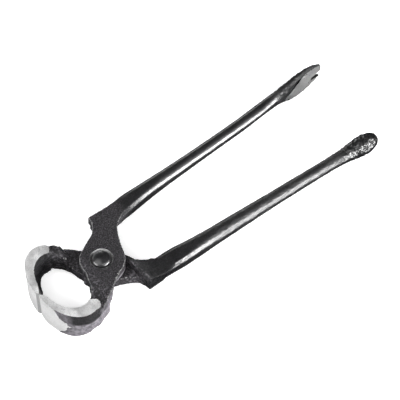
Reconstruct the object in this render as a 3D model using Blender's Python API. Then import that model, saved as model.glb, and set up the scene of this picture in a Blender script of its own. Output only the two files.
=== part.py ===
"""Carpenter's pincers: two forged levers lapped on one domed rivet, with a claw end and a ball end.

Both levers are the same forging up to the handle. Each is drawn once, in lever coordinates:
millimetres from the pivot axis, nose at -X, handles at +X, own handle on +Y, own jaw on -Y,
own half of the lap joint at +Z. The ball lever is that shape turned half a turn about X.
"""
import math

import bmesh
import bpy
from mathutils import Matrix, Vector

MM = 0.001

# Gaps between neighbouring pieces
GAP = 0.3

# Pivot axis from the part's origin, which lies under the middle of the whole tool
PIVOT_X = -64.6
PIVOT_Y = 1.15

# Jaws: a C-shaped band between two ellipses, wide along the pivot axis
JAW_HALF_WIDTH = 9.25
JAW_CENTRE_X = -23.5
JAW_OUTER = (15.0, 24.3)
JAW_INNER = (11.6, 18.0)
JAW_REAR_CHAMFER = (1.6, 3.0)

# Cutting edges, from inside the mouth outwards: they meet a little off the centre line
CLAW_EDGE = ((-34.9, -3.2), (-35.3, -1.6), (-37.4, 0.65))
BALL_EDGE = ((-35.8, -3.3), (-37.2, -0.95), (-38.2, -2.75))

# Joint: a half lap, its boss and the steps that stop the opening
JOINT_HALF_THICKNESS = 6.0
BOSS_RADIUS = 11.0
LAP_RADIUS = 12.0
ROOT_STEP_X = 10.6
CLAW_LAP_REACH = 12.6
BALL_LAP_REACH = 14.5
CLAW_SHOULDER = ((9.3, 24.0), (9.0, 20.8), (7.8, 18.0), (5.0, 14.8), (0.0, 12.4))
BALL_SHOULDER = ((11.9, 23.4), (11.4, 20.1), (9.9, 17.1), (6.9, 14.6), (2.0, 12.2))

# Rivet
SHANK_RADIUS = 3.5
DOME_RADIUS = 4.8
DOME_HEIGHT = 1.8
SINK_RADIUS = 5.9
SINK_DEPTH = 2.0

# Lean of the handle root: its rear face lies further out than its front face
ROOT_LEAN = 0.30
LEAN_START_X = 8.0
LEAN_FULL_X = 16.0

# Handles: stations along X as (x, centre y, centre z, half width y, half width z, squareness, lean)
CLAW_HANDLE = (
    (19.0, 19.9, 0.0, 5.9, 6.05, 7.0, 0.30),
    (26.0, 20.7, 0.0, 5.3, 5.95, 5.0, 0.26),
    (33.0, 21.4, 0.0, 5.2, 5.5, 3.6, 0.18),
    (41.0, 21.9, 0.0, 4.7, 4.9, 2.8, 0.08),
    (50.0, 22.3, 0.0, 4.3, 4.4, 2.3, 0.0),
    (70.0, 22.9, 0.0, 3.8, 3.9, 2.1, 0.0),
    (90.0, 23.6, 0.0, 3.6, 3.6, 2.0, 0.0),
    (110.0, 24.4, 0.0, 3.5, 3.5, 2.0, 0.0),
    (130.0, 25.9, 0.0, 3.4, 3.6, 2.0, 0.0),
    (138.0, 26.2, 0.0, 3.0, 4.8, 2.2, 0.0),
    (146.0, 26.1, -0.2, 2.4, 7.4, 3.0, 0.0),
    (154.0, 26.7, -0.4, 1.9, 8.2, 3.5, 0.0),
    (160.0, 27.0, -0.2, 1.6, 7.6, 3.5, 0.0),
    (164.5, 26.9, 0.1, 1.2, 5.9, 3.0, 0.0),
    (167.4, 26.8, 1.2, 0.7, 3.1, 2.5, 0.0),
)
BALL_HANDLE = (
    (19.0, 19.2, 0.0, 5.9, 6.05, 7.0, 0.30),
    (26.0, 19.8, 0.0, 5.6, 5.95, 5.0, 0.26),
    (33.0, 20.3, 0.0, 5.6, 5.5, 3.6, 0.18),
    (41.0, 20.9, 0.0, 5.1, 5.1, 2.8, 0.08),
    (50.0, 21.3, 0.0, 4.7, 4.7, 2.3, 0.0),
    (70.0, 22.0, 0.0, 4.3, 4.3, 2.1, 0.0),
    (90.0, 22.8, 0.0, 3.9, 3.9, 2.0, 0.0),
    (110.0, 23.7, 0.0, 3.7, 3.7, 2.0, 0.0),
    (130.0, 24.7, 0.0, 3.6, 3.6, 2.0, 0.0),
    (140.0, 25.3, 0.0, 4.0, 4.0, 2.0, 0.0),
    (146.0, 25.8, 0.0, 4.8, 4.8, 2.0, 0.0),
    (152.0, 26.1, 0.0, 5.2, 5.2, 2.0, 0.0),
    (156.0, 26.2, 0.0, 4.6, 4.6, 2.0, 0.0),
    (159.0, 26.2, 0.0, 3.3, 3.3, 2.0, 0.0),
    (160.7, 26.1, 0.0, 1.5, 1.5, 2.0, 0.0),
)
HANDLE_SIDES = 28
NOTCH_TIP = (159.5, -2.0)
NOTCH_MOUTH = (169.0, 1.7)

ARC_STEP = math.radians(8.0)
TALL = 30.0


def clear_scene():
    for item in list(bpy.data.objects):
        bpy.data.objects.remove(item, do_unlink=True)


def steel(name, colour, roughness, metallic):
    material = bpy.data.materials.new(name)
    material.use_nodes = True
    shader = material.node_tree.nodes["Principled BSDF"]
    shader.inputs["Base Color"].default_value = (*colour, 1.0)
    shader.inputs["Roughness"].default_value = roughness
    shader.inputs["Metallic"].default_value = metallic
    return material


def arc(centre, radii, start_degrees, end_degrees):
    """Points along an ellipse, both ends included."""
    start = math.radians(start_degrees)
    sweep = math.radians(end_degrees) - start
    count = max(2, math.ceil(abs(sweep) / ARC_STEP))
    angles = [start + sweep * i / count for i in range(count + 1)]
    return [(centre[0] + radii[0] * math.cos(a), centre[1] + radii[1] * math.sin(a)) for a in angles]


def make_object(name, bm):
    """An object at the pivot from a bmesh drawn in lever millimetres, with no twisted four-sided faces."""
    bmesh.ops.triangulate(bm, faces=[face for face in bm.faces if len(face.verts) == 4])
    bmesh.ops.scale(bm, vec=(MM, MM, MM), verts=bm.verts)
    bmesh.ops.recalc_face_normals(bm, faces=bm.faces)
    mesh = bpy.data.meshes.new(name)
    bm.to_mesh(mesh)
    bm.free()
    item = bpy.data.objects.new(name, mesh)
    bpy.context.scene.collection.objects.link(item)
    return item


def prism(name, outline, low, high, lean=0.0):
    """An extruded outline, drawn at its top; with a lean its floor lies further out at the handle root."""
    bm = bmesh.new()
    floor = bm.faces.new([bm.verts.new((x, y, low)) for x, y in outline])
    lifted = bmesh.ops.extrude_face_region(bm, geom=[floor])
    top = [v for v in lifted["geom"] if isinstance(v, bmesh.types.BMVert)]
    bmesh.ops.translate(bm, vec=(0.0, 0.0, high - low), verts=top)
    for vert in floor.verts:
        share = (vert.co.x - LEAN_START_X) / (LEAN_FULL_X - LEAN_START_X)
        vert.co.y += lean * (high - low) * min(1.0, max(0.0, share))
    return make_object(name, bm)


def superellipse(station):
    x, centre_y, centre_z, half_y, half_z, power, lean = station
    ring = []
    for i in range(HANDLE_SIDES):
        a = 2.0 * math.pi * i / HANDLE_SIDES
        c = math.copysign(abs(math.cos(a)) ** (2.0 / power), math.cos(a))
        s = math.copysign(abs(math.sin(a)) ** (2.0 / power), math.sin(a))
        z = centre_z + half_z * s
        ring.append((x, centre_y + half_y * c - lean * z, z))
    return ring


def handle(name, stations):
    bm = bmesh.new()
    rings = [[bm.verts.new(p) for p in superellipse(s)] for s in stations]
    for near, far in zip(rings, rings[1:]):
        for i in range(HANDLE_SIDES):
            j = (i + 1) % HANDLE_SIDES
            bm.faces.new((near[i], near[j], far[j], far[i]))
    bm.faces.new(rings[0])
    bm.faces.new(rings[-1])
    return make_object(name, bm)


def blank(name, shoulder):
    """Neck, boss and handle root as one plate, before the lap is cut away."""
    outline = list(shoulder)
    outline += arc((0.0, 0.0), (BOSS_RADIUS, BOSS_RADIUS), 114.0, 188.0)
    outline += arc((JAW_CENTRE_X, 0.0), JAW_INNER, -16.0, -60.0)
    outline += [(-21.5, -20.5), (-20.0, -23.2), (-15.0, -22.7), (-10.0, -19.8), (-5.0, -16.6), (-1.0, -13.9)]
    outline += arc((0.0, 0.0), (LAP_RADIUS, LAP_RADIUS), -76.0, -14.0)
    outline += [(12.5, -0.3), (13.5, 2.2), (15.1, 5.7), (17.3, 9.6), (20.5, 12.6), (24.0, 14.6)]
    outline += [(27.0, 16.8), (27.0, 21.6), (20.0, 23.6)]
    return prism(name, outline, -JOINT_HALF_THICKNESS, JOINT_HALF_THICKNESS, ROOT_LEAN)


def jaw(name, edge):
    outline = arc((JAW_CENTRE_X, 0.0), JAW_OUTER, -172.0, -76.0)
    outline += [(-17.8, -22.8), (-17.2, -20.6), (-17.9, -18.4)]
    outline += arc((JAW_CENTRE_X, 0.0), JAW_INNER, -64.0, -162.0)
    outline += edge
    return prism(name, outline, -JAW_HALF_WIDTH, JAW_HALF_WIDTH)


def jaw_heel(name):
    """Thick end of the jaw, beyond the reach of the other lever's boss."""
    outline = arc((JAW_CENTRE_X, 0.0), JAW_INNER, -47.0, -66.0)
    outline += [(-20.5, -20.5), (-19.0, -22.2), (-15.6, -20.8), (-13.2, -18.4), (-13.2, -15.6)]
    return prism(name, outline, -JAW_HALF_WIDTH + 1.2, 1.0)


def lap_cutter(name, reach):
    """Everything behind the lap plane from the handle's root step to reach, in the neck."""
    outline = [(ROOT_STEP_X, TALL), (ROOT_STEP_X, 8.6), (12.6, 10.3), (15.0, 12.8), (18.0, 14.8), (22.0, 15.8)]
    outline += [(TALL, 15.0), (TALL, -TALL), (-11.0, -TALL), (-11.0, -15.0), (-reach, -9.0), (-reach, TALL)]
    return prism(name, outline, -TALL, GAP / 2.0)


def turned(name, profile, sides=40):
    """A solid turned about the pivot axis from (radius, z) points, the first and last on the axis."""
    bm = bmesh.new()
    verts = [bm.verts.new((r, 0.0, z)) for r, z in profile]
    edges = [bm.edges.new(pair) for pair in zip(verts, verts[1:])]
    bmesh.ops.spin(bm, geom=verts + edges, axis=(0, 0, 1), cent=(0, 0, 0), angle=2.0 * math.pi, steps=sides)
    bmesh.ops.remove_doubles(bm, verts=bm.verts, dist=0.001)
    return make_object(name, bm)


def rivet_hole(name):
    bore = SHANK_RADIUS + GAP
    top = JOINT_HALF_THICKNESS
    cone = (SINK_RADIUS - bore) / SINK_DEPTH
    return turned(name, ((0.0, -TALL), (bore, -TALL), (bore, top - SINK_DEPTH),
                         (SINK_RADIUS + cone, top + 1.0), (0.0, top + 1.0)))


def half_rivet_profile():
    """The rivet's outline from its middle to the top of its dome."""
    top = JOINT_HALF_THICKNESS
    profile = [(SHANK_RADIUS, 0.0), (SHANK_RADIUS, top - SINK_DEPTH), (DOME_RADIUS, top - 0.35)]
    profile += [(DOME_RADIUS * math.cos(a), top + DOME_HEIGHT * math.sin(a))
                for a in (math.radians(15.0 * i) for i in range(6))]
    return profile + [(0.0, top + DOME_HEIGHT)]


def rivet(name):
    upper = half_rivet_profile()
    lower = [(r, -z) for r, z in reversed(upper)]
    return turned(name, lower[:-1] + upper)


def jaw_rear_cutter(name, side):
    """Bevels the jaw's outer edge on the side the tool lies on, fading out towards the nose."""
    inset, rise = JAW_REAR_CHAMFER
    bm = bmesh.new()
    turns = arc((JAW_CENTRE_X, 0.0), (1.0, 1.0), -162.0, -60.0)
    rings = []
    for i, (x, y) in enumerate(turns):
        c = x - JAW_CENTRE_X
        fade = min(1.0, 0.03 + i / 8.0)
        corners = ((-inset * fade, 0.0), (2.0, -4.0), (8.0, 0.0), (0.0, rise * fade))
        rings.append([bm.verts.new((JAW_CENTRE_X + (JAW_OUTER[0] + grow) * c, (JAW_OUTER[1] + grow) * y,
                                    side * (JAW_HALF_WIDTH - up))) for grow, up in corners])
    for near, far in zip(rings, rings[1:]):
        for i in range(4):
            j = (i + 1) % 4
            bm.faces.new((near[i], near[j], far[j], far[i]))
    bm.faces.new(rings[0])
    bm.faces.new(rings[-1])
    return make_object(name, bm)


def claw_notch(name):
    tip_x, tip_z = NOTCH_TIP
    mouth_x, half = NOTCH_MOUTH
    bm = bmesh.new()
    corners = ((tip_x, tip_z), (mouth_x, tip_z - half), (mouth_x, tip_z + half))
    near = [bm.verts.new((x, 15.0, z)) for x, z in corners]
    far = [bm.verts.new((x, 40.0, z)) for x, z in corners]
    bm.faces.new(near)
    bm.faces.new(far)
    for i in range(3):
        j = (i + 1) % 3
        bm.faces.new((near[i], near[j], far[j], far[i]))
    return make_object(name, bm)


def combine(target, tool, operation):
    tool.hide_render = True
    tool.display_type = "WIRE"
    modifier = target.modifiers.new(tool.name, "BOOLEAN")
    modifier.operation = operation
    modifier.solver = "EXACT"
    modifier.object = tool


def lever(name, shoulder, edge, reach, handle_stations, rear):
    """One lever; rear is +1 or -1, the side of the lap plane that the tool lies on."""
    body = blank(name, shoulder)
    combine(body, jaw(name + ".jaw", edge), "UNION")
    combine(body, jaw_heel(name + ".heel"), "UNION")
    combine(body, handle(name + ".handle", handle_stations), "UNION")
    combine(body, lap_cutter(name + ".lap", reach), "DIFFERENCE")
    combine(body, rivet_hole(name + ".hole"), "DIFFERENCE")
    combine(body, jaw_rear_cutter(name + ".jaw_rear", rear), "DIFFERENCE")
    return body


def place(item, material, flipped=False):
    """Moves a piece and its tools to the pivot, turned about X for the ball lever."""
    pivot = Vector((PIVOT_X, PIVOT_Y, JAW_HALF_WIDTH)) * MM
    turn = Matrix.Rotation(math.pi, 4, "X") if flipped else Matrix.Identity(4)
    tools = [m.object for m in item.modifiers if m.type == "BOOLEAN"]
    for piece in [item] + tools:
        piece.matrix_world = Matrix.Translation(pivot) @ turn
    item.data.materials.append(material)
    item.data.shade_smooth()
    item.data.set_sharp_from_angle(angle=math.radians(30.0))


def build():
    clear_scene()
    forged = steel("forged_black", (0.030, 0.030, 0.033), 0.45, 0.6)
    second = steel("forged_black_rear", (0.028, 0.028, 0.031), 0.45, 0.6)
    riveted = steel("rivet_steel", (0.035, 0.035, 0.038), 0.40, 0.7)
    claw_lever = lever("claw_lever", CLAW_SHOULDER, CLAW_EDGE, CLAW_LAP_REACH, CLAW_HANDLE, -1.0)
    combine(claw_lever, claw_notch("claw_lever.notch"), "DIFFERENCE")
    place(claw_lever, forged)
    ball_lever = lever("ball_lever", BALL_SHOULDER, BALL_EDGE, BALL_LAP_REACH, BALL_HANDLE, 1.0)
    place(ball_lever, second, flipped=True)
    place(rivet("pivot_rivet"), riveted)


build()
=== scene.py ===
"""Carpenter's pincers: two black forged levers with ground jaws on one domed rivet."""
import math

import bmesh
import bpy
import numpy as np
from mathutils import Matrix, Vector, noise
from mathutils.kdtree import KDTree

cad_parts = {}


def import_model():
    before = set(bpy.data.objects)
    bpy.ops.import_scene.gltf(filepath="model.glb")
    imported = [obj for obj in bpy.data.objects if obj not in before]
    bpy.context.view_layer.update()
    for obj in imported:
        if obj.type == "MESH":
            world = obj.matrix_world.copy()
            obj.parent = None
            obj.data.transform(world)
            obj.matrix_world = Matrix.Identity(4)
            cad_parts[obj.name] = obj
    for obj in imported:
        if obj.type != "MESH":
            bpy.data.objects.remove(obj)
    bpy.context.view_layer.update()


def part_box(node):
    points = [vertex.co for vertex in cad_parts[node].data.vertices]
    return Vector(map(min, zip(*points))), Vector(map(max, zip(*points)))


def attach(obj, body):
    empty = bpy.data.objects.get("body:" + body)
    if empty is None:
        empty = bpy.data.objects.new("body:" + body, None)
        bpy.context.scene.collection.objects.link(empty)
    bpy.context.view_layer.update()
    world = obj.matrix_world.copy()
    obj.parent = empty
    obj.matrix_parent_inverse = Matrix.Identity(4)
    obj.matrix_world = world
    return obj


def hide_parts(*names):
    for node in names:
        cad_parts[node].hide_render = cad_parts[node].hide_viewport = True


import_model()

RIVET_LOW, RIVET_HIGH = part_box("pivot_rivet")
PIVOT = (RIVET_LOW + RIVET_HIGH) / 2.0
MM = 0.001

# Levers are drawn in millimetres from the pivot axis: nose at -X, handles at +X, own handle on +Y,
# own jaw on -Y, own half of the lap joint at +Z. The ball lever is turned half a turn about X.
# front is +1 for the claw lever and -1 for the ball lever, so z * front is height in the tool.
JAW_HALF_WIDTH = 9.25
JAW_CENTRE_X = -23.5
JAW_OUTER = (15.0, 24.3)
JAW_INNER = (11.6, 18.0)
PARTING = 0.15
EDGE_Y = 0.8
BLANK_HALF = 6.0
BOSS_RADIUS = 11.0
LAP_RADIUS = 12.0
CLAW_LAP_REACH = 12.6
BALL_LAP_REACH = 14.5
# Outlines of the shoulders, from the handle to the boss
CLAW_SHOULDER = ((9.6, 24.0), (9.35, 20.8), (8.0, 18.0), (5.0, 14.8), (0.0, 12.4))
BALL_SHOULDER = ((11.9, 23.4), (11.4, 20.1), (9.9, 17.1), (6.9, 14.6), (2.0, 12.2))

# The rivet and its sink. The dome has a (radius, z) bevel under a parabolic cap.
BORE_RADIUS = 3.8
SHANK_RADIUS = 3.5
SINK_RADIUS = 5.9
SINK_DEPTH = 2.0
DOME_BEVEL = ((4.8, 5.65), (4.8, 5.90), (4.72, 6.08))
CAP_RADIUS = 4.12
CAP_LOW = 6.86
CAP_RISE = 0.94
CAP_STEPS = 12

# The handle's root leans by this much y for each z, fully from LEAN_START_X + LEAN_RUN on
ROOT_LEAN = 0.30
LEAN_START_X = 8.0
LEAN_RUN = 8.0

SIDE_SPARE = 0.5
HEEL_LOW = -8.05
HEEL_HIGH = 1.0
VOXEL = 0.36
SOFTENING_PASSES = 6
HEEL_PASSES = 40
SETTLING_PASSES = 3
WEAR_REACH = 4
ARC_STEP = math.radians(4.0)
TURNED_SIDES = 96
SHARP_DEGREES = 32.0
TALL = 30.0
# The side of the neck runs along NECK_SLOPE * x - y = about 12.5
NECK_SLOPE = 0.63

# Handle sections: x, centre y, centre z, half width y, half width z, squareness, lean
CLAW_HANDLE = (
    (19.0, 19.9, 0.0, 5.9, 6.05, 7.0, 0.30), (26.0, 20.7, 0.0, 5.3, 5.95, 5.0, 0.26),
    (33.0, 21.4, 0.0, 5.2, 5.5, 3.6, 0.18), (41.0, 21.9, 0.0, 4.7, 4.9, 2.8, 0.08),
    (50.0, 22.3, 0.0, 4.3, 4.4, 2.3, 0.0), (70.0, 22.9, 0.0, 3.8, 3.9, 2.1, 0.0),
    (90.0, 23.6, 0.0, 3.6, 3.6, 2.0, 0.0), (110.0, 24.4, 0.0, 3.5, 3.5, 2.0, 0.0),
    (130.0, 25.9, 0.0, 3.4, 3.6, 2.0, 0.0), (138.0, 26.2, 0.0, 3.0, 4.8, 2.2, 0.0),
    (146.0, 26.1, -0.2, 2.4, 7.4, 3.0, 0.0), (154.0, 26.7, -0.4, 1.9, 8.2, 4.5, 0.0),
    (160.0, 27.0, -0.2, 1.6, 7.6, 5.5, 0.0), (164.5, 26.9, 0.1, 1.2, 5.9, 4.5, 0.0),
    (166.7, 26.8, 0.1, 1.0, 4.9, 3.0, 0.0), (167.9, 26.8, -0.1, 0.7, 3.4, 2.4, 0.0),
)
BALL_HANDLE = (
    (19.0, 19.2, 0.0, 5.9, 6.05, 7.0, 0.30), (26.0, 19.8, 0.0, 5.6, 5.95, 5.0, 0.26),
    (33.0, 20.3, 0.0, 5.6, 5.5, 3.6, 0.18), (41.0, 20.9, 0.0, 5.1, 5.1, 2.8, 0.08),
    (50.0, 21.3, 0.0, 4.7, 4.7, 2.3, 0.0), (70.0, 22.0, 0.0, 4.3, 4.3, 2.1, 0.0),
    (90.0, 22.8, 0.0, 3.9, 3.9, 2.0, 0.0), (110.0, 23.7, 0.0, 3.7, 3.7, 2.0, 0.0),
    (130.0, 24.7, 0.0, 3.6, 3.6, 2.0, 0.0), (140.0, 25.3, 0.0, 4.0, 4.0, 2.0, 0.0),
    (146.0, 25.8, 0.0, 4.8, 4.8, 2.0, 0.0), (152.0, 26.1, 0.0, 5.2, 5.2, 2.0, 0.0),
    (156.0, 26.2, 0.0, 4.6, 4.6, 2.0, 0.0), (159.0, 26.2, 0.0, 3.3, 3.3, 2.0, 0.0),
    (160.7, 26.1, 0.0, 1.5, 1.5, 2.0, 0.0),
)
HANDLE_SIDES = 72
HANDLE_STEP = 2.0
FLAT_ANGLE = math.radians(52.0)
FLAT_SIN = math.sin(FLAT_ANGLE)
FLAT_COS = math.cos(FLAT_ANGLE)

# Forged form of the jaw, each as two rows for np.interp. Angles run from the nose, in degrees.
REAR_EDGE_OUT = ((0.0, 8.0, 22.0, 35.0, 53.0, 71.0, 92.0, 112.0),
                 (0.5, 0.5, 0.35, 0.1, 0.0, -1.2, -1.9, -1.1))
INNER_GROWTH = ((0.0, 30.0, 45.0, 59.0, 71.0, 84.0, 95.0, 110.0, 120.0, 135.0, 156.0, 170.0),
                (0.90, 0.78, 0.78, 0.86, 0.93, 1.02, 1.05, 1.02, 1.02, 1.04, 1.05, 1.0))
HEEL_THICKNESS = ((96.0, 108.0, 120.0, 135.0, 150.0), (0.0, 0.9, 1.3, 0.6, 0.0))
# By x: how far the neck's side leans out below its top edge
NECK_LEAN = ((-20.0, -14.0, -9.0, -6.5, -3.7, -1.0, 1.0, 3.0),
             (0.0, 0.3, 0.6, 0.1, -1.0, -1.5, -0.7, 0.0))

# Where the grinding of each flank ends: angle from the nose, height over the flank
CLAW_FLANK = ((-7.0, -2.5, 3.0, 12.0, 27.0, 33.0, 46.0, 58.0, 66.0),
              (-2.2, -1.1, -0.6, -0.1, 0.05, 0.5, 0.70, 0.80, 2.5))
BALL_FLANK = ((-7.0, 6.0, 12.0, 50.0, 60.0, 68.0), (-0.5, -0.2, -0.05, 0.0, 0.3, 2.5))

# Claw end: its ground face rises from (CLAW_X, CLAW_Y); the gash is x, z and half width
CLAW_X = 139.0
CLAW_Y = 23.55
CLAW_RISE = 0.094
GASH = ((140.2, -3.0, 0.10), (142.0, -0.6, 0.80), (146.4, 2.3, 1.05), (150.2, 4.9, 0.75),
        (152.0, 5.6, 0.10))
GASH_LINE = ((138.0, 142.2, 146.7, 151.0), (-6.0, -0.5, 2.1, 4.6))
GASH_MIDDLE_X = 145.5
GASH_HALF_LENGTH = 6.5

# Stored on each mesh for its material: rubbed to bare metal and painted highlights, coarseness
# of the scale, lighter stain and painted light, and lack of lacquer
WEAR_AND_LIGHT_LAYERS = ("wear_and_glint", "coarse", "tone_and_light", "dull")
MAP_RANGE_SOCKETS = ("From Min", "From Max", "To Min", "To Max")


# ---------------------------------------------------------------- material helpers

class Nodes:
    """Short names for building one material's node tree."""

    def __init__(self, name):
        self.material = bpy.data.materials.new(name)
        self.material.use_nodes = True
        self.tree = self.material.node_tree
        self.shader = self.tree.nodes["Principled BSDF"]
        self.coords = self.tree.nodes.new("ShaderNodeTexCoord").outputs["Object"]

    def link(self, value, socket):
        if isinstance(value, bpy.types.NodeSocket):
            self.tree.links.new(value, socket)
        else:
            socket.default_value = value

    def noise(self, scale, detail=3.0, rough=0.55, stretch=(1.0, 1.0, 1.0), warp=0.0):
        """Noise with features about 1/scale mm across."""
        mapping = self.tree.nodes.new("ShaderNodeMapping")
        mapping.inputs["Scale"].default_value = [1000.0 * s for s in stretch]
        self.link(self.coords, mapping.inputs["Vector"])
        node = self.tree.nodes.new("ShaderNodeTexNoise")
        self.link(mapping.outputs["Vector"], node.inputs["Vector"])
        node.inputs["Scale"].default_value = scale
        node.inputs["Detail"].default_value = detail
        node.inputs["Roughness"].default_value = rough
        node.inputs["Distortion"].default_value = warp
        return node.outputs["Fac"]

    def attribute(self, name):
        node = self.tree.nodes.new("ShaderNodeAttribute")
        node.attribute_name = name
        return node.outputs["Fac"]

    def math(self, operation, a, b=0.0, clamp=False):
        node = self.tree.nodes.new("ShaderNodeMath")
        node.operation = operation
        node.use_clamp = clamp
        self.link(a, node.inputs[0])
        self.link(b, node.inputs[1])
        return node.outputs["Value"]

    def ramp(self, value, low, high, out_low=0.0, out_high=1.0, smooth=True):
        node = self.tree.nodes.new("ShaderNodeMapRange")
        node.interpolation_type = "SMOOTHSTEP" if smooth else "LINEAR"
        self.link(value, node.inputs["Value"])
        for key, number in zip(MAP_RANGE_SOCKETS, (low, high, out_low, out_high)):
            node.inputs[key].default_value = number
        return node.outputs["Result"]

    def mix(self, factor, a, b):
        node = self.tree.nodes.new("ShaderNodeMix")
        node.data_type = "RGBA"
        self.link(factor, node.inputs[0])
        self.link(a, node.inputs[6])
        self.link(b, node.inputs[7])
        return node.outputs[2]

    def bump(self, height, distance, strength=1.0, under=None):
        node = self.tree.nodes.new("ShaderNodeBump")
        node.inputs["Distance"].default_value = distance * MM
        node.inputs["Strength"].default_value = strength
        self.link(height, node.inputs["Height"])
        if under is not None:
            self.link(under, node.inputs["Normal"])
        return node.outputs["Normal"]

    def finish(self, **inputs):
        for key, value in inputs.items():
            socket = key.replace("_", " ").title().replace("Ior", "IOR")
            self.link(value, self.shader.inputs[socket])
        return self.material


def grey(level, warmth=0.0):
    return (level * (1.0 + warmth), level, level * (1.0 - warmth), 1.0)


def forged_steel(name):
    """Black forging scale under a thin lacquer, rubbed lighter along its edges; painted highlights
    round the rivet's sink and along the claw's gash are drawn as rubbed metal, and the lighter stain
    is partly painted light.
    """
    n = Nodes(name)
    fine = n.noise(1.5, 4.0, 0.8)
    broad = n.noise(0.22, 3.0)
    pits = n.noise(0.45, 5.0, 0.75)
    wear_and_glint, coarse, tone_and_light, dull = (n.attribute(layer) for layer in WEAR_AND_LIGHT_LAYERS)
    patchy = n.math("ADD", wear_and_glint, n.ramp(fine, 0.35, 0.65, -0.55, 0.20, False), True)
    rub_and_glint = n.ramp(patchy, 0.5, 0.9)
    speckle = n.math("MULTIPLY", n.ramp(fine, 0.42, 0.66), n.ramp(dull, 0.4, 0.9, 0.25, 1.0))
    speckle = n.math("MULTIPLY", speckle, n.ramp(coarse, 1.1, 1.3, 1.0, 0.0))
    # Lighter stain, partly painted light: down the neck's side wall and as glints on the lap
    stain_and_light_mask = n.math("MULTIPLY", tone_and_light, n.ramp(pits, 0.38, 0.58, 0.35, 1.0))
    base = n.mix(n.ramp(broad, 0.3, 0.7), grey(0.004, -0.06), grey(0.008, -0.04))
    base = n.mix(speckle, base, (0.060, 0.055, 0.062, 1.0))
    base = n.mix(stain_and_light_mask, base, (0.146, 0.137, 0.152, 1.0))
    base = n.mix(rub_and_glint, base, grey(0.26))
    rough = n.math("ADD", n.ramp(pits, 0.3, 0.7, 0.34, 0.46), n.math("MULTIPLY", dull, 0.35))
    depth = n.ramp(coarse, 0.0, 1.0, 0.22, 1.0, False)
    grain = n.math("MULTIPLY", fine, n.math("MULTIPLY", depth, n.ramp(coarse, 1.1, 1.4, 1.0, 0.1)))
    lumps = n.math("MULTIPLY", pits, n.math("MULTIPLY", depth, n.ramp(coarse, 1.1, 1.4, 1.0, 0.5)))
    normal = n.bump(grain, 0.22, 0.9, n.bump(lumps, 0.60, 0.8))
    return n.finish(base_color=base, roughness=rough, normal=normal, specular_ior_level=0.25,
                    metallic=n.ramp(rub_and_glint, 0.0, 1.0, 0.0, 0.7), coat_normal=normal,
                    coat_weight=n.ramp(dull, 0.0, 0.6, 1.0, 0.0), coat_roughness=0.12)


def ground_steel(name, level, metallic=1.0):
    """Bright ground steel with fine grinding lines and faint stains."""
    n = Nodes(name)
    lines = n.noise(2.2, 4.0, 0.6, (0.25, 1.0, 1.0))
    stain = n.noise(0.16, 4.0, 0.6)
    fine = n.noise(1.5, 4.0, 0.8)
    scratch = n.noise(0.35, 3.0, 0.8, warp=1.5)
    base = n.mix(n.ramp(stain, 0.35, 0.65), grey(level * 0.88), grey(level))
    base = n.mix(n.ramp(fine, 0.44, 0.64, 0.0, 0.62), base, grey(level * 0.66))
    base = n.mix(n.ramp(scratch, 0.62, 0.70, 0.0, 0.45), base, grey(level * 0.45))
    rough = n.ramp(stain, 0.3, 0.7, 0.46, 0.60)
    normal = n.bump(lines, 0.05, 0.5, n.bump(fine, 0.08, 0.5))
    return n.finish(base_color=base, roughness=rough, metallic=metallic, normal=normal)


def sunk_steel(name, level, metallic):
    """Steel of the rivet's sink, and of the claw's notch and gash, where its near-black is painted
    shade.
    """
    n = Nodes(name)
    fine = n.noise(1.8, 4.0, 0.7)
    base = n.mix(n.ramp(fine, 0.35, 0.65), grey(level), grey(level * 2.5))
    return n.finish(base_color=base, roughness=n.ramp(fine, 0.3, 0.7, 0.28, 0.5), metallic=metallic,
                    normal=n.bump(fine, 0.12, 0.5))


# ---------------------------------------------------------------- mesh helpers

def arc(centre, radii, start_degrees, end_degrees):
    start = math.radians(start_degrees)
    sweep = math.radians(end_degrees) - start
    count = max(2, math.ceil(abs(sweep) / ARC_STEP))
    angles = [start + sweep * i / count for i in range(count + 1)]
    (x, y), (half_x, half_y) = centre, radii
    return [(x + half_x * math.cos(a), y + half_y * math.sin(a)) for a in angles]


def mesh_object(name, bm, material=None):
    """An object from a closed bmesh, with flat faces only and normals outwards."""
    bmesh.ops.triangulate(bm, faces=[f for f in bm.faces if len(f.verts) == 4])
    bmesh.ops.recalc_face_normals(bm, faces=bm.faces)
    mesh = bpy.data.meshes.new(name)
    bm.to_mesh(mesh)
    bm.free()
    item = bpy.data.objects.new(name, mesh)
    bpy.context.scene.collection.objects.link(item)
    if material:
        mesh.materials.append(material)
    return item


def tube(name, rings, material=None):
    """A closed solid through rings of points, all with the same count."""
    bm = bmesh.new()
    loops = [[bm.verts.new(p) for p in ring] for ring in rings]
    count = len(loops[0])
    for near, far in zip(loops, loops[1:]):
        for i in range(count):
            j = (i + 1) % count
            bm.faces.new((near[i], near[j], far[j], far[i]))
    bm.faces.new(loops[0])
    bm.faces.new(loops[-1])
    return mesh_object(name, bm, material)


def prism(name, outline, low, high, material=None, lean=0.0):
    """A plate from low to high; lean shifts its lower side by y beyond the boss."""
    def ring(z):
        shares = [min(1.0, max(0.0, (x - LEAN_START_X) / LEAN_RUN)) for x, _ in outline]
        return [(x, y + lean * (high - z) * s, z) for (x, y), s in zip(outline, shares)]
    return tube(name, (ring(low), ring(high)), material)


def combined(target, tools, operation):
    """Applies booleans, then removes the tools."""
    for tool in tools:
        modifier = target.modifiers.new(tool.name, "BOOLEAN")
        modifier.operation = operation
        modifier.solver = "MANIFOLD"
        modifier.material_mode = "TRANSFER"
        modifier.object = tool
    applied(target)
    for tool in tools:
        bpy.data.objects.remove(tool, do_unlink=True)
    return target


def applied(item):
    graph = bpy.context.evaluated_depsgraph_get()
    mesh = bpy.data.meshes.new_from_object(item.evaluated_get(graph), depsgraph=graph)
    item.modifiers.clear()
    item.data = mesh
    return item


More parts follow.
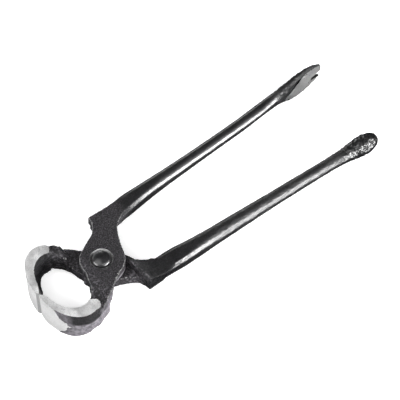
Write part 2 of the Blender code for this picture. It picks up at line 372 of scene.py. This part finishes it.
def get_points(mesh):
    co = np.zeros(len(mesh.vertices) * 3, np.float32)
    mesh.vertices.foreach_get("co", co)
    return co.reshape(-1, 3).astype(float)


def set_points(mesh, co):
    mesh.vertices.foreach_set("co", co.astype(np.float32).ravel())
    mesh.update()


def get_edges(mesh):
    ends = np.zeros(len(mesh.edges) * 2, np.int32)
    mesh.edges.foreach_get("vertices", ends)
    return ends.reshape(-1, 2)


def neighbour_mean(co, ends):
    count = np.bincount(ends.ravel(), minlength=len(co)).clip(1)[:, None]
    both = np.concatenate((ends, ends[:, ::-1]))
    total = [np.bincount(both[:, 0], weights=column[both[:, 1]], minlength=len(co)) for column in co.T]
    return np.stack(total, 1) / count


def relaxed(co, ends, passes):
    """Smooths without shrinking."""
    for _ in range(passes):
        co = co + 0.50 * (neighbour_mean(co, ends) - co)
        co = co - 0.52 * (neighbour_mean(co, ends) - co)
    return co


def normals_of(mesh):
    n = np.zeros(len(mesh.vertices) * 3, np.float32)
    mesh.vertices.foreach_get("normal", n)
    return n.reshape(-1, 3).astype(float)


def field(co, scale, seed, octaves=3):
    """Seeded noise from about -1 to 1 at each point, with features scale mm across."""
    shift = Vector((seed * 17.3, seed * 5.1, -seed * 9.7))
    pts = co / scale
    return np.array([noise.fractal(Vector(p) + shift, 0.8, 2.1, octaves) for p in pts])


def step(value, low, high):
    """Rises smoothly from 0 at low to 1 at high."""
    t = np.clip((value - low) / (high - low), 0.0, 1.0)
    return t * t * (3.0 - 2.0 * t)


def set_attribute(mesh, name, values):
    layer = mesh.attributes.get(name) or mesh.attributes.new(name, "FLOAT", "POINT")
    layer.data.foreach_set("value", values.astype(np.float32))


# ---------------------------------------------------------------- lever solids

def through(stations, spacing):
    """Stations interpolated smoothly at an even spacing."""
    table = np.array(stations)
    x = table[:, 0]
    slope = np.gradient(table, x, axis=0)
    places = np.unique(np.concatenate((np.arange(x[0], x[-1], spacing), x)))
    rows = []
    for place in places:
        i = min(np.searchsorted(x, place, side="right") - 1, len(x) - 2)
        h = x[i + 1] - x[i]
        t = (place - x[i]) / h
        rows.append((2 * t ** 3 - 3 * t ** 2 + 1) * table[i]
                    + (t ** 3 - 2 * t ** 2 + t) * h * slope[i]
                    + (3 * t ** 2 - 2 * t ** 3) * table[i + 1]
                    + (t ** 3 - t ** 2) * h * slope[i + 1])
    return rows


def section(station):
    """One ring of the handle, square to round, with a narrow flat hammered on each diagonal."""
    x, centre_y, centre_z, half_y, half_z, power, lean = station
    ring = []
    for i in range(HANDLE_SIDES):
        a = 2.0 * math.pi * i / HANDLE_SIDES
        c = math.copysign(abs(math.cos(a)) ** (2.0 / power), math.cos(a))
        s = math.copysign(abs(math.sin(a)) ** (2.0 / power), math.sin(a))
        ring.append((half_y * c, half_z * s))
    reach = [abs(y) * FLAT_SIN + abs(z) * FLAT_COS for y, z in ring]
    limit = max(reach) * (1.0 - min(0.10, 0.018 + 0.02 * (power - 2.0)))
    points = []
    for (y, z), r in zip(ring, reach):
        cut = max(0.0, r - limit)
        y -= math.copysign(cut * FLAT_SIN, y)
        z += centre_z - math.copysign(cut * FLAT_COS, z)
        points.append((x, centre_y + y - lean * z, z))
    return points


def blank(name, shoulder):
    """Neck, boss and handle root as one plate, before the lap is cut away."""
    outline = list(shoulder)
    outline += arc((0.0, 0.0), (BOSS_RADIUS, BOSS_RADIUS), 114.0, 188.0)
    outline += arc((JAW_CENTRE_X, 0.0), JAW_INNER, -16.0, -60.0)
    outline += [(-21.5, -20.5), (-20.0, -23.2), (-15.0, -22.7), (-10.0, -19.8), (-5.0, -16.6)]
    outline += [(-1.0, -13.9)]
    outline += arc((0.0, 0.0), (LAP_RADIUS, LAP_RADIUS), -76.0, -14.0)
    outline += [(12.5, -0.3), (13.5, 2.2), (15.1, 5.7), (17.3, 9.6), (20.5, 12.6), (24.0, 14.6)]
    outline += [(27.0, 16.8), (27.0, 21.6), (20.0, 23.6)]
    return prism(name, outline, -BLANK_HALF, BLANK_HALF, lean=ROOT_LEAN)


def jaw(name, front):
    """The curved jaw, a little wider than its side cutters leave it."""
    outline = arc((JAW_CENTRE_X, 0.0), JAW_OUTER, -188.0, -79.0)
    if front > 0.0:
        outline += [(-19.2, -24.1), (-18.0, -23.6), (-17.1, -22.5), (-16.7, -21.1), (-16.9, -19.4)]
        outline += [(-17.5, -18.2), (-18.4, -17.4)]
    else:
        outline += [(-19.9, -23.6), (-17.8, -22.8), (-17.2, -20.6), (-17.9, -18.4)]
    outline += arc((JAW_CENTRE_X, 0.0), JAW_INNER, -70.0, -188.0)
    return prism(name, outline, -JAW_HALF_WIDTH - SIDE_SPARE, JAW_HALF_WIDTH + SIDE_SPARE)


def jaw_heel(name):
    """Thick end of the jaw, beyond the reach of the other lever's boss."""
    outline = arc((JAW_CENTRE_X, 0.0), JAW_INNER, -47.0, -66.0)
    outline += [(-20.5, -20.5), (-19.0, -22.2), (-16.8, -21.4), (-14.9, -19.6), (-13.7, -17.4)]
    outline += [(-13.2, -15.2)]
    return prism(name, outline, HEEL_LOW, HEEL_HIGH)


def lap_cutter(name, reach):
    """Everything behind the lap plane; reach is how far it runs into the neck along -X."""
    outline = [(10.6, TALL), (10.6, 8.6), (12.6, 10.3), (15.0, 12.8), (18.0, 14.8), (22.0, 15.8)]
    outline += [(TALL, 15.0), (TALL, -TALL), (-11.0, -TALL), (-11.0, -15.0), (-reach, -9.0)]
    outline += [(-reach, TALL)]
    return prism(name, outline, -TALL, PARTING)


def turned(name, profile, material=None):
    """A solid turned about the pivot axis from (radius, z) points."""
    bm = bmesh.new()
    verts = [bm.verts.new((r, 0.0, z)) for r, z in profile]
    edges = [bm.edges.new(pair) for pair in zip(verts, verts[1:])]
    bmesh.ops.spin(bm, geom=verts + edges, axis=(0, 0, 1), cent=(0, 0, 0), angle=2.0 * math.pi,
                   steps=TURNED_SIDES)
    bmesh.ops.remove_doubles(bm, verts=bm.verts, dist=0.001)
    return mesh_object(name, bm, material)


def forging(name, shoulder, stations, reach, front):
    """The rough lever: its solids merged, remeshed finely and softened as forged steel is."""
    body = blank(name, shoulder)
    rings = [section(s) for s in through(stations, HANDLE_STEP)]
    solids = [jaw(name + "_jaw", front), jaw_heel(name + "_heel"), tube(name + "_grip", rings)]
    combined(body, solids, "UNION")
    combined(body, [lap_cutter(name + "_lap", reach)], "DIFFERENCE")
    remesh = body.modifiers.new("remesh", "REMESH")
    remesh.mode = "VOXEL"
    remesh.voxel_size = VOXEL
    applied(body)
    ends = get_edges(body.data)
    co = relaxed(get_points(body.data), ends, SOFTENING_PASSES)
    # The corner under the heel is smoothed much further
    heel = step(-co[:, 0], 12.0, 16.5) * step(co[:, 0], -27.0, -20.0) * step(-co[:, 1], 11.0, 15.0)
    heel *= step(-co[:, 2], -6.5, -2.0)
    for _ in range(HEEL_PASSES):
        co = co + (0.5 * heel)[:, None] * (neighbour_mean(co, ends) - co)
    set_points(body.data, relaxed(jaw_shape(co, front), ends, SETTLING_PASSES))
    return body


def jaw_shape(co, front):
    """Forged form of the jaw: crowned flank, inner wall thicker to the nose, leaning neck."""
    x, y, z = co[:, 0] - JAW_CENTRE_X, co[:, 1], co[:, 2] * front
    out = np.hypot(x / JAW_OUTER[0], y / JAW_OUTER[1])
    turn = np.degrees(np.arctan2(-y / JAW_OUTER[1], -x / JAW_OUTER[0]))
    # The outer flank is crowned, and its rear edge is drawn in towards the heel
    in_jaw = step(-co[:, 0], 14.0, 18.0) * step(-y, -6.0, -4.0)
    crown = 0.8 * np.clip(1.0 - ((z + 1.0) / 10.25) ** 2, 0.0, 1.0)
    rear = np.interp(turn, *REAR_EDGE_OUT)
    outward = (crown + rear * step(-z, 2.0, 9.25)) * step(out, 0.80, 0.97) * in_jaw
    # The inner wall grows towards the nose and shrinks round the heel, most at the rear
    inner = np.hypot(x / JAW_INNER[0], y / JAW_INNER[1])
    side = np.degrees(np.arctan2(-y / JAW_INNER[1], -x / JAW_INNER[0]))
    grow = np.interp(side, *INNER_GROWTH) - 1.0
    near = (1.0 - step(inner, 1.02, 1.26)) * step(-y, -6.0, -4.0) * step(-co[:, 0], 9.0, 12.0)
    depth = step(-z, -6.0, 9.25) if front < 0.0 else step(-z, 3.0, 12.0)
    scale = 1.0 + outward / np.maximum(np.hypot(x, y), 5.0) + grow * near * depth
    moved = co.copy()
    moved[:, 0] = JAW_CENTRE_X + x * scale
    moved[:, 1] = y * scale
    # The neck's side leans
    lean = np.interp(co[:, 0], *NECK_LEAN)
    lean *= step(NECK_SLOPE * co[:, 0] - y, 8.0, 12.0) * step(BLANK_HALF - z, 0.0, 6.0)
    moved[:, 0] += 0.5 * lean
    moved[:, 1] -= 0.85 * lean
    if front > 0.0:
        # The jaw's end is a thicker lobe
        thick = np.interp(side, *HEEL_THICKNESS) * (1.0 - step(inner, 1.02, 1.26))
        moved[:, 0] -= thick * step(z, -1.0, 1.0) * step(-y, 2.0, 6.0)
    else:
        # A crease where the neck leaves the jaw, and the end of the jaw's rear face pressed in
        crease = np.exp(-((co[:, 0] + 11.6) / 1.2) ** 2) * step(-y, 6.0, 9.0) * step(z, 2.0, 5.0)
        moved[:, 2] += 2.2 * crease
        end = step(turn, 92.0, 122.0) * (co[:, 2] > 5.8)
        end = end * (step(-co[:, 0], 10.0, 12.0) * step(-y, 2.0, 5.0))
        moved[:, 2] -= end * (co[:, 2] - 5.8) * 0.95
    return moved


def curvature(mesh, reach):
    """How strongly each point sticks out of its surroundings, in mm, averaged over reach passes."""
    co, ends = get_points(mesh), get_edges(mesh)
    mean = co
    for _ in range(reach):
        mean = neighbour_mean(mean, ends)
    return np.sum((co - mean) * normals_of(mesh), axis=1)


def roughen(body, seed, coarse):
    """Forging scale and hammer marks, kept off the joint faces."""
    mesh = body.data
    co, normal = get_points(mesh), normals_of(mesh)
    joint = step(np.hypot(co[:, 0], co[:, 1]), 11.8, 13.5) + step(co[:, 2], 3.5, 5.5)
    free = np.clip(joint, 0.03, 1.0)
    height = 0.05 * field(co, 3.0, seed) + coarse * 0.22 * field(co, 1.3, seed + 3)
    set_points(mesh, co + normal * (height * free)[:, None])


def side_cutter(name, material, side):
    """Trims one side face of the jaw flat."""
    outline = [(-60.0, 5.0), (-60.0, -40.0), (-9.0, -40.0), (-9.0, 5.0)]
    low, high = (JAW_HALF_WIDTH, TALL) if side > 0 else (-TALL, -JAW_HALF_WIDTH)
    return prism(name, outline, low, high, material)


def edge_cutter(name, material, upper):
    """Bevels the nose to its cutting edge, from outside the tool to inside the mouth."""
    if upper:
        outline = [(-60.0, -2.6), (-38.3, -2.6), (-37.2, -EDGE_Y - PARTING), (-35.8, -3.3)]
        outline += [(-34.6, -6.0)]
    else:
        outline = [(-60.0, EDGE_Y - PARTING), (-37.4, EDGE_Y - PARTING), (-35.3, -1.6), (-34.9, -3.2)]
    outline += [(-28.0, outline[-1][1]), (-28.0, 12.0), (-60.0, 12.0)]
    return prism(name, outline, -TALL, TALL, material)


def flank_cutter(name, material, profile):
    """Grinds the outer flank near the nose; profile is angles from the nose, heights over it."""
    rings = []
    for degrees in np.arange(-7.0, profile[0][-1] + 0.1, 3.0):
        height = np.interp(degrees, *profile)
        a = math.radians(180.0 + degrees)
        direction = Vector((math.cos(a) * JAW_OUTER[1], math.sin(a) * JAW_OUTER[0])).normalized()
        foot = Vector((JAW_CENTRE_X + JAW_OUTER[0] * math.cos(a), JAW_OUTER[1] * math.sin(a)))
        low, high = foot + direction * height, foot + direction * 6.0
        rings.append([(*low, -14.0), (*low, 14.0), (*high, 14.0), (*high, -14.0)])
    return tube(name, rings, material)


def claw_face(x):
    """Height in y of the claw end's ground face."""
    return CLAW_Y + CLAW_RISE * (x - CLAW_X)


def claw_face_cutter(name, material):
    """Grinds the inside of the claw end flat below a diagonal line."""
    line = [(CLAW_X, -12.0), (140.5, -3.0), (142.0, -1.3), (146.7, 1.1), (151.6, 4.4), (156.0, 6.5)]
    line += [(162.0, 6.9), (165.0, 6.0), (172.0, 6.0), (172.0, -12.0)]
    rings = [[(x, claw_face(x) + lift, z) for x, z in line] for lift in (0.0, -8.0)]
    return tube(name, rings, material)


def gash_cutter(name, material):
    """The notch where the claw's ground face stops."""
    corners = ((1, -8.0), (-1, -8.0), (-1, 0.6), (1, 0.6))
    rings = [[(x - half * u, claw_face(x) + v, z + half * u) for u, v in corners]
             for x, z, half in GASH]
    return tube(name, rings, material)


def hole_cutter(name, material):
    """The rivet's hole, countersunk at the outer face."""
    top = BLANK_HALF
    cone = (SINK_RADIUS - BORE_RADIUS) / SINK_DEPTH
    return turned(name, ((0.0, -TALL), (BORE_RADIUS, -TALL), (BORE_RADIUS, top - SINK_DEPTH),
                         (SINK_RADIUS + cone, top + 1.0), (0.0, top + 1.0)), material)


def notch_cutter(name, material):
    """The slot for pulling nails, between the claw's prongs."""
    corners = ((160.6, -1.1), (160.4, -2.9), (169.0, -4.5), (169.0, -0.2))
    return tube(name, [[(x, y, z) for x, z in corners] for y in (15.0, 40.0)], material)


def to_row(item, flipped):
    """Moves a lever's mesh from lever millimetres to the row frame in metres."""
    turn = Matrix.Rotation(math.pi, 4, "X") if flipped else Matrix.Identity(4)
    item.data.transform(Matrix.Translation(PIVOT) @ turn @ Matrix.Scale(MM, 4))
    item.data.update()


def finished(item, name, body, node, flipped):
    """Names a piece, puts it in place, hangs it on the body it rides on and hides the CAD part it
    stands for.
    """
    item.name = name
    to_row(item, flipped)
    item.data.shade_smooth()
    item.data.set_sharp_from_angle(angle=math.radians(SHARP_DEGREES))
    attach(item, body)
    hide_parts(node)


def lever(name, shoulder, stations, seed, coarse, front, reach, tools):
    """One lever: forged, roughened, then ground by its tools, with its wear stored on the mesh."""
    body = forging(name, shoulder, stations, reach, front)
    roughen(body, seed, coarse(get_points(body.data)))
    bend = curvature(body.data, WEAR_REACH)
    source = get_points(body.data)
    body.data.materials.clear()
    body.data.materials.append(black)
    tools = [side_cutter("front", bright, front), side_cutter("rear", bright, -front),
             hole_cutter("hole", sink)] + tools
    combined(body, tools, "DIFFERENCE")
    co = get_points(body.data)
    tree = KDTree(len(source))
    for i, p in enumerate(source):
        tree.insert(p, i)
    tree.balance()
    nearest = np.array([tree.find(p)[1] for p in co])
    x, z, is_ball = co[:, 0], co[:, 2], front < 0.0
    # Rubbed bright: edges that stick out, and painted highlights drawn as rubbed metal round the
    # sink's rim and along the gash; less on the lump by the jaw's heel, the ends of the handles and
    # the ball lever's shoulder
    glint_rims = 0.7 * np.exp(-((np.hypot(x, co[:, 1]) - SINK_RADIUS - 0.1) / 0.35) ** 2)
    glint_rims += 0.8 * np.exp(-(gash_distance(co) / 0.5) ** 2)
    lump = step(-x, 10.0, 13.0) * step(-z, -1.5, 0.0) * is_ball
    spared = (1.0 - 0.3 * lump) * (1.0 - 0.8 * step(x, 132.0, 142.0))
    spared *= 1.0 - 0.8 * step(x, 8.0, 11.0) * step(-x, -30.0, -24.0) * is_ball
    # Unlacquered: the joint, half of it the jaw, none of it the handle
    dull = 1.0 - 0.5 * step(-x, 9.0, 14.0)
    dull -= step(x, 9.5, 12.5) if is_ball else step(x, 20.0, 38.0)
    dull += (0.25 + 0.25 * front) * step(x, 132.0, 142.0)
    wear_and_glint = np.maximum(step(bend[nearest], 0.03, 0.16) * spared, glint_rims)
    for layer, values in zip(WEAR_AND_LIGHT_LAYERS, (wear_and_glint, coarse(co), lighter_stain_and_painted_light(co, front), dull)):
        set_attribute(body.data, layer, values)
    return body


def gash_distance(co):
    """Distance in mm from the line where the claw's ground face stops."""
    across = np.abs(co[:, 2] - np.interp(co[:, 0], *GASH_LINE))
    return across + 9.0 * (np.abs(co[:, 0] - GASH_MIDDLE_X) > GASH_HALF_LENGTH)


def lighter_stain_and_painted_light(co, front):
    """Where the jaw and neck are lighter: low on the flank, by the nose and in rubbed flecks in the
    mouth and on the neck; down the neck's side it is painted light, and the flecks on the ball lever's
    lap are partly painted glints.
    """
    x, y, z = co[:, 0] - JAW_CENTRE_X, co[:, 1], co[:, 2] * front
    out = np.hypot(x / JAW_OUTER[0], y / JAW_OUTER[1])
    turn = np.degrees(np.arctan2(-y / JAW_OUTER[1], -x / JAW_OUTER[0]))
    # Low on the flank, and a wedge beside its ground part
    low = step(out, 0.92, 0.96) * step(-z, -3.0, -1.2) * step(turn, 40.0, 60.0)
    if front < 0.0:
        low *= step(-co[:, 0], 20.0, 24.0)
    wedge = 0.6 * step(out, 0.92, 0.96) * (1.0 - step(turn, 44.0, 56.0)) * step(turn, 0.0, 10.0)
    # Down the neck's side: painted light, lighter where the wall catches the light
    side = step(co[:, 0], -22.0, -17.0) * step(-co[:, 0], 2.0, 4.0)
    side *= step(NECK_SLOPE * co[:, 0] - y, 12.2, 12.9)
    side *= 0.45 * step(BLANK_HALF - z, 0.4, 1.2)
    # Flecks inside the mouth near the nose, on the neck and on the ball lever's lap; those on the lap
    # are partly painted glints
    inner = np.hypot(x / JAW_INNER[0], y / JAW_INNER[1])
    mouth = (1.0 - step(inner, 1.04, 1.10)) * (1.0 - step(turn, 24.0, 42.0)) * step(-y, -4.0, 0.0)
    mouth *= 1.2 * step(field(co, 2.4, 8, 4), -0.15, 0.25)
    neck = 0.55 * step(-co[:, 0], 6.0, 10.0) * step(co[:, 0], -22.0, -18.0)
    neck *= step(field(co, 1.0, 9, 4), 0.1, 0.35)
    if front < 0.0:
        lap = 0.6 * step(co[:, 0], 4.0, 6.0) * step(-co[:, 0], -13.0, -11.0)
        neck += lap * step(field(co, 1.3, 11, 4), 0.0, 0.35)
    return np.clip(low + wedge + side + mouth + neck, 0.0, 1.0)


def rivet(name, material):
    """The rivet: shank, cones and bevelled domes, the same at both ends."""
    upper = [(SHANK_RADIUS, 0.0), (SHANK_RADIUS, BLANK_HALF - SINK_DEPTH), *DOME_BEVEL]
    for i in range(CAP_STEPS + 1):
        reach = 1.0 - i / CAP_STEPS
        upper.append((CAP_RADIUS * reach, CAP_LOW + CAP_RISE * (1.0 - reach ** 2)))
    lower = [(r, -z) for r, z in reversed(upper)]
    return turned(name, lower[:-1] + upper, material)


# ---------------------------------------------------------------- build

black = forged_steel("black_forged_steel")
bright = ground_steel("ground_steel", 0.98)
# The flank, the nose land and the claw's face are the same ground steel painted darker: painted shade
# for how each faces the lamps
flank = ground_steel("ground_steel_painted_shade_flank", 0.54, 0.45)
shaded_land_steel = ground_steel("ground_steel_painted_shade_land", 0.34, 0.45)
shaded_claw_steel = ground_steel("ground_steel_painted_shade_claw", 0.40)
# Near-black steel for the claw's gash and notch: painted shade in these hollows
shade_black_steel = sunk_steel("painted_shade_black_steel", 0.003, 0.0)
sink = sunk_steel("rivet_sink", 0.22, 0.9)


def claw_coarse(co):
    """How coarse the claw lever's scale is: its neck and claw more than its handle and jaw."""
    x = co[:, 0]
    neck = step(-co[:, 1], 9.0, 14.0) * step(x, -22.0, -16.0) * (1.0 - step(x, 0.0, 8.0))
    claw = 1.3 * step(x, 132.0, 140.0) - 0.3 * step(x, 152.0, 160.0)
    return 0.6 - 0.5 * step(x, 16.0, 40.0) - 0.4 * step(-x, 19.0, 23.0) + 0.5 * neck + claw


def ball_coarse(co):
    """How coarse the ball lever's scale is: its lap and its beaten ball end the most."""
    x = co[:, 0]
    lap = 1.0 - step(x, 10.0, 20.0)
    return 0.25 + 0.75 * lap + 0.30 * step(x, 40.0, 60.0) + 1.35 * step(x, 128.0, 146.0)


claw = lever("claw_lever_steel", CLAW_SHOULDER, CLAW_HANDLE, 1, claw_coarse, 1.0, CLAW_LAP_REACH,
             [edge_cutter("edge", bright, False), flank_cutter("flank", flank, CLAW_FLANK),
              claw_face_cutter("claw_face", shaded_claw_steel), gash_cutter("gash", shade_black_steel),
              notch_cutter("notch", shade_black_steel)])
finished(claw, "claw_lever_steel", "claw_side", "claw_lever", False)
ball = lever("ball_lever_steel", BALL_SHOULDER, BALL_HANDLE, 2, ball_coarse, -1.0, BALL_LAP_REACH,
             [edge_cutter("edge", shaded_land_steel, True), flank_cutter("flank", flank, BALL_FLANK)])
finished(ball, "ball_lever_steel", "ball_side", "ball_lever", True)
pin = rivet("rivet_steel", black)
for layer in WEAR_AND_LIGHT_LAYERS:
    set_attribute(pin.data, layer, np.zeros(len(pin.data.vertices)))
finished(pin, "rivet_steel", "claw_side", "pivot_rivet", False)


# ---------------------------------------------------------------- floor, light and camera

FLOOR_HALF = 3.0
FLOOR_Z = -0.0002
CAMERA_PLACE = (-0.3257, -0.4004, 0.7465)
CAMERA_AIM = (-0.00152, 0.00126, 0.00925)
CAMERA_LENS = 157.95
SENSOR_WIDTH = 36.0
CAMERA_NEAR = 0.01

# Name, place, aim, size, watts and spread in degrees
LIGHTS = (
    ("low_strip", (0.18, -0.42, 0.100), (0.02, 0.0, 0.01), (0.70, 0.16), 1.55, 60.0),
    ("soft_box", (0.05, -0.55, 0.60), (0.0, 0.0, 0.0), (1.2, 0.5), 5.0, 180.0),
    ("key", (-0.55, 0.10, 0.80), (0.0, 0.0, 0.0), (0.9, 0.9), 6.3, 180.0),
    ("glint", (-0.530, 0.105, 0.112), (-0.06, 0.0, 0.01), (0.40, 0.08), 2.7, 180.0),
    ("rim", (0.02, 0.62, 0.13), (0.0, 0.0, 0.01), (0.90, 0.10), 1.6, 180.0),
)


def floor():
    """A pale floor just under the tool, which its steel doesn't reflect."""
    bm = bmesh.new()
    bmesh.ops.create_grid(bm, x_segments=1, y_segments=1, size=FLOOR_HALF)
    mesh = bpy.data.meshes.new("floor")
    bm.to_mesh(mesh)
    bm.free()
    item = bpy.data.objects.new("floor", mesh)
    item.location = (0.0, 0.0, FLOOR_Z)
    item.visible_glossy = False
    bpy.context.scene.collection.objects.link(item)
    n = Nodes("pale_floor")
    mesh.materials.append(n.finish(base_color=grey(0.92), roughness=0.9, specular_ior_level=0.1,
                                   emission_color=grey(1.0), emission_strength=0.45))


def aimed(item, place, aim):
    """Adds a lamp or camera to the scene, looking from place to aim."""
    item.location = place
    item.rotation_mode = "QUATERNION"
    item.rotation_quaternion = (Vector(aim) - Vector(place)).to_track_quat("-Z", "Y")
    bpy.context.scene.collection.objects.link(item)


def area_light(name, place, aim, size, power, spread):
    """A rectangular lamp; a small spread keeps its light near its aim."""
    data = bpy.data.lights.new(name, "AREA")
    data.shape = "RECTANGLE"
    data.size, data.size_y = size
    data.energy = power
    data.spread = math.radians(spread)
    item = bpy.data.objects.new(name, data)
    aimed(item, place, aim)


def world():
    """A white studio, darker behind the tool so that its upper edges keep their depth."""
    item = bpy.data.worlds.new("studio")
    bpy.context.scene.world = item
    item.use_nodes = True
    tree = item.node_tree
    coords = tree.nodes.new("ShaderNodeTexCoord")
    split = tree.nodes.new("ShaderNodeSeparateXYZ")
    tree.links.new(coords.outputs["Generated"], split.inputs[0])

    def ramp(socket, low, high, out_low, out_high):
        node = tree.nodes.new("ShaderNodeMapRange")
        node.interpolation_type = "SMOOTHSTEP"
        tree.links.new(socket, node.inputs["Value"])
        for key, number in zip(MAP_RANGE_SOCKETS, (low, high, out_low, out_high)):
            node.inputs[key].default_value = number
        return node.outputs["Result"]

    def product(a, b):
        node = tree.nodes.new("ShaderNodeMath")
        node.operation = "MULTIPLY"
        tree.links.new(a, node.inputs[0])
        tree.links.new(b, node.inputs[1])
        return node.outputs["Value"]

    # A darker patch beyond the tool's far side, from the horizon up, and dark below the floor
    behind = product(ramp(split.outputs["Y"], 0.15, 0.60, 0.0, 1.0),
                     ramp(split.outputs["Z"], 0.45, 0.78, 1.0, 0.0))
    level = tree.nodes.new("ShaderNodeMapRange")
    tree.links.new(behind, level.inputs["Value"])
    level.inputs["To Min"].default_value = 0.95
    level.inputs["To Max"].default_value = 0.22
    below = ramp(split.outputs["Z"], -0.10, 0.0, 0.12, 1.0)
    strength = tree.nodes["Background"].inputs["Strength"]
    tree.links.new(product(level.outputs["Result"], below), strength)


def camera():
    data = bpy.data.cameras.new("camera")
    data.lens = CAMERA_LENS
    data.sensor_width = SENSOR_WIDTH
    data.clip_start = CAMERA_NEAR
    item = bpy.data.objects.new("camera", data)
    aimed(item, CAMERA_PLACE, CAMERA_AIM)
    bpy.context.scene.camera = item


floor()
world()
for light in LIGHTS:
    area_light(*light)
camera()
bpy.context.scene.view_settings.view_transform = "Standard"
